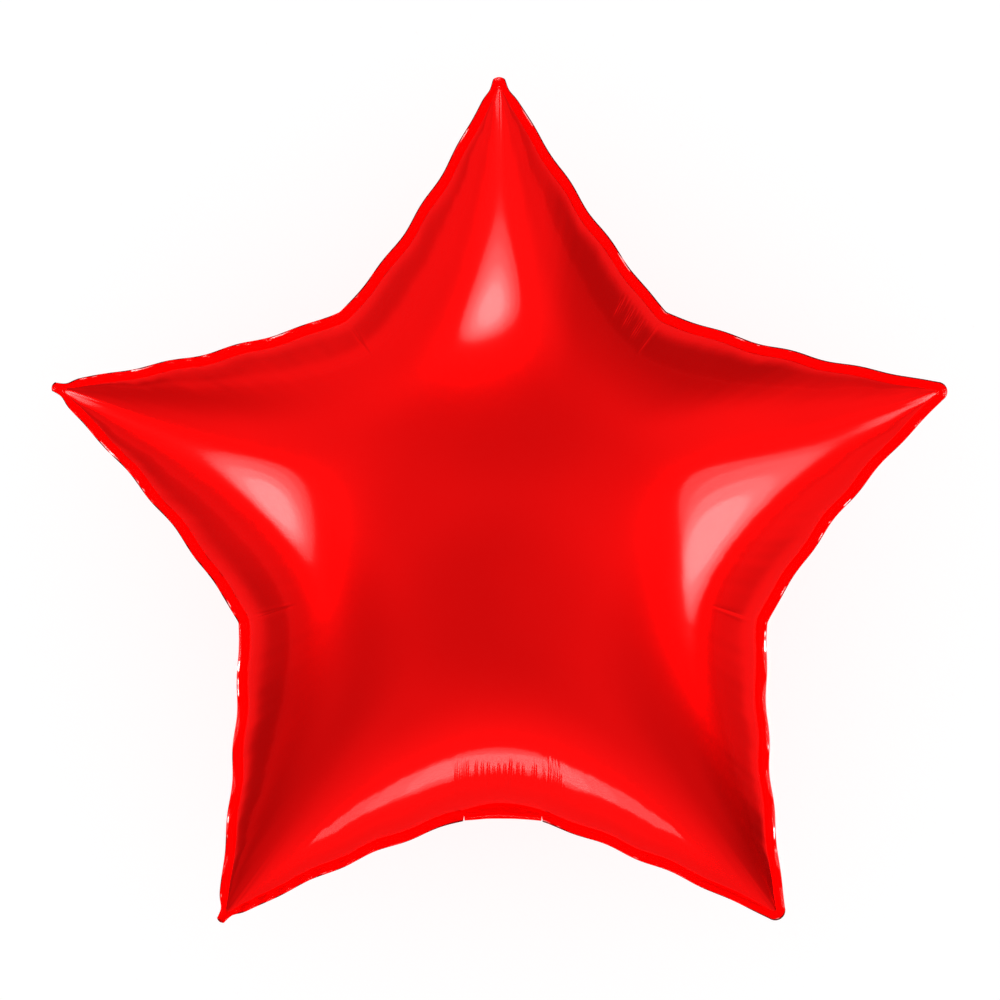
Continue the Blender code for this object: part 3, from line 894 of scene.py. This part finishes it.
def soft_box(box):
    """A soft box of oval area lamps, each in front of the one before. Only the film's gloss shows it."""
    away = direction(box.tilt, box.azimuth)
    sideways = direction(90, box.azimuth + 90)
    facing = Matrix((sideways, away.cross(sideways), away)).transposed().to_4x4()
    middle = Matrix.Translation(away * box.distance + Vector(box.spot)) @ facing
    for number, (*angles, turn, brightness) in enumerate(box.ovals):
        aside, up, across, high = angles
        aside, up, half_across, half_high = (
            box.distance * math.tan(math.radians(angle)) for angle in (aside, up, across / 2, high / 2))
        name = f"{box.name}_box_{number}"
        lamp = bpy.data.lights.new(name, "AREA")
        lamp.shape = "ELLIPSE"
        lamp.size, lamp.size_y = 2 * half_across, 2 * half_high
        lamp.energy = brightness * math.pi * math.pi * half_across * half_high
        lit = bpy.data.objects.new(name, lamp)
        shift = Matrix.Translation((aside, up, -number * OVAL_STEP))
        lit.matrix_world = middle @ shift @ Matrix.Rotation(math.radians(-turn), 4, "Z")
        lit.visible_camera = lit.visible_diffuse = False
        bpy.context.scene.collection.objects.link(lit)


def direction(tilt, azimuth):
    """The way that is tilt degrees from straight up, towards azimuth."""
    flat = polar(math.sin(math.radians(tilt)), math.radians(azimuth))
    return Vector((flat[0], flat[1], math.cos(math.radians(tilt))))


def light_world():
    """A pale room, softly uneven."""
    world = bpy.data.worlds.new("studio")
    bpy.context.scene.world = world
    world.use_nodes = True
    tree = world.node_tree
    tree.nodes.clear()
    wire = Wire(tree)
    place = wire.node("ShaderNodeTexCoord", output=0)
    reach = [math.cos(math.radians(angle)) for angle in (GLOW_OUTER, GLOW_INNER)]
    strength = ROOM
    for tilt, azimuth, gain in ROOM_GLOWS:
        middle = wire.node("ShaderNodeVectorMath", {"operation": "DOT_PRODUCT"},
                           {0: place, 1: direction(tilt, azimuth)}, output=1)
        strength = gain * middle.step(*reach) + strength
    back = wire.node("ShaderNodeBackground", {}, {"Color": (1, 1, 1, 1), "Strength": strength})
    output = tree.nodes.new("ShaderNodeOutputWorld")
    tree.links.new(back.socket, output.inputs["Surface"])


def light_studio():
    light_world()
    for box in SOFT_BOXES:
        soft_box(box)


def lay_floor():
    bpy.ops.mesh.primitive_plane_add(size=FLOOR_SIZE)
    floor = bpy.context.active_object
    floor.name = "floor"
    floor.data.materials.append(pale_floor())


def add_net(name, points, shades, material):
    """A net from a grid of points and how dark each one is. The camera doesn't see it, nor has it a shadow."""
    rows, across = shades.shape
    faces = [(k, k + across, k + across + 1, k + 1) for row in range(rows - 1)
             for k in range(row * across, (row + 1) * across - 1)]
    mesh = bpy.data.meshes.new(name)
    mesh.from_pydata(points.reshape(-1, 3).tolist(), [], faces)
    mark(mesh, "shade", shades.ravel())
    mesh.materials.append(material)
    net = bpy.data.objects.new(name, mesh)
    bpy.context.scene.collection.objects.link(net)
    net.visible_camera = net.visible_shadow = net.visible_diffuse = False


def add_floor_net(material):
    """One round net just over the floor, with a dark part for each of FLOOR_NETS."""
    radii = np.geomspace(NET_INNER, NET_OUTER, NET_RINGS)[:, None]
    turn = np.linspace(0, 360, NET_SECTORS + 1)[None, :]
    clear = np.ones((NET_RINGS, NET_SECTORS + 1))
    for net in FLOOR_NETS:
        aside = np.abs((turn - net.azimuth + 180) % 360 - 180)
        shade = net.dark * (1 - fade(aside, 0, net.spread)) * fade(radii, *net.rise)
        clear *= 1 - shade * (1 - fade(radii, *net.fall))
    x, y = radii * np.cos(np.radians(turn)), radii * np.sin(np.radians(turn))
    points = np.stack([x, y, np.full(clear.shape, NET_LEVEL)], axis=2)
    add_net("floor_net", points, 1 - clear, material)


def add_upright_net(net, material):
    """An upright net that is darkest in its middle and open at the foot."""
    across, up = np.meshgrid(np.linspace(-1, 1, NET_STEPS + 1), np.linspace(0, 1, NET_STEPS + 1))
    side = direction(90, net.azimuth + 90) * (net.width / 2)
    shades = net.dark * (1 - fade(np.abs(across), 1 - NET_SOFT_SIDE, 1))
    shades = shades * (1 - fade(up, 1 - NET_SOFT_TOP, 1)) * fade(net.height * up, 0, NET_SOFT_FOOT)
    x, y = net.foot[0] + side.x * across, net.foot[1] + side.y * across
    points = np.stack([x, y, NET_LEVEL + net.height * up], axis=2)
    add_net(net.name, points, shades, material)


def hang_nets():
    """The nets on the floor and beside the points, for the film to mirror."""
    material = black_net()
    add_floor_net(material)
    for net in UPRIGHT_NETS:
        add_upright_net(net, material)


def aim_camera():
    """Straight down at the star, as far off and as long as gives the photograph's frame."""
    lens = bpy.data.cameras.new("camera")
    camera = bpy.data.objects.new("camera", lens)
    bpy.context.scene.collection.objects.link(camera)
    seam = (CAD_BOX[0][2] + CAD_BOX[1][2]) / 2
    across = (PIXELS / 2 - MIDDLE_PIXEL[0]) * PIXEL
    up = (MIDDLE_PIXEL[1] - PIXELS / 2) * PIXEL
    camera.location = (across, up, seam + CAMERA_HEIGHT)
    lens.sensor_width = SENSOR_WIDTH
    lens.lens = lens.sensor_width * CAMERA_HEIGHT / (PIXEL * PIXELS)
    lens.clip_end = FURTHEST_SEEN
    bpy.context.scene.camera = camera


def main():
    balloon = make_balloon()
    balloon.data.materials.append(red_film())
    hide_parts("foil_balloon")
    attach(balloon, "root")
    lay_floor()
    hang_nets()
    light_studio()
    aim_camera()
    bpy.context.scene.view_settings.view_transform = "Standard"


main()
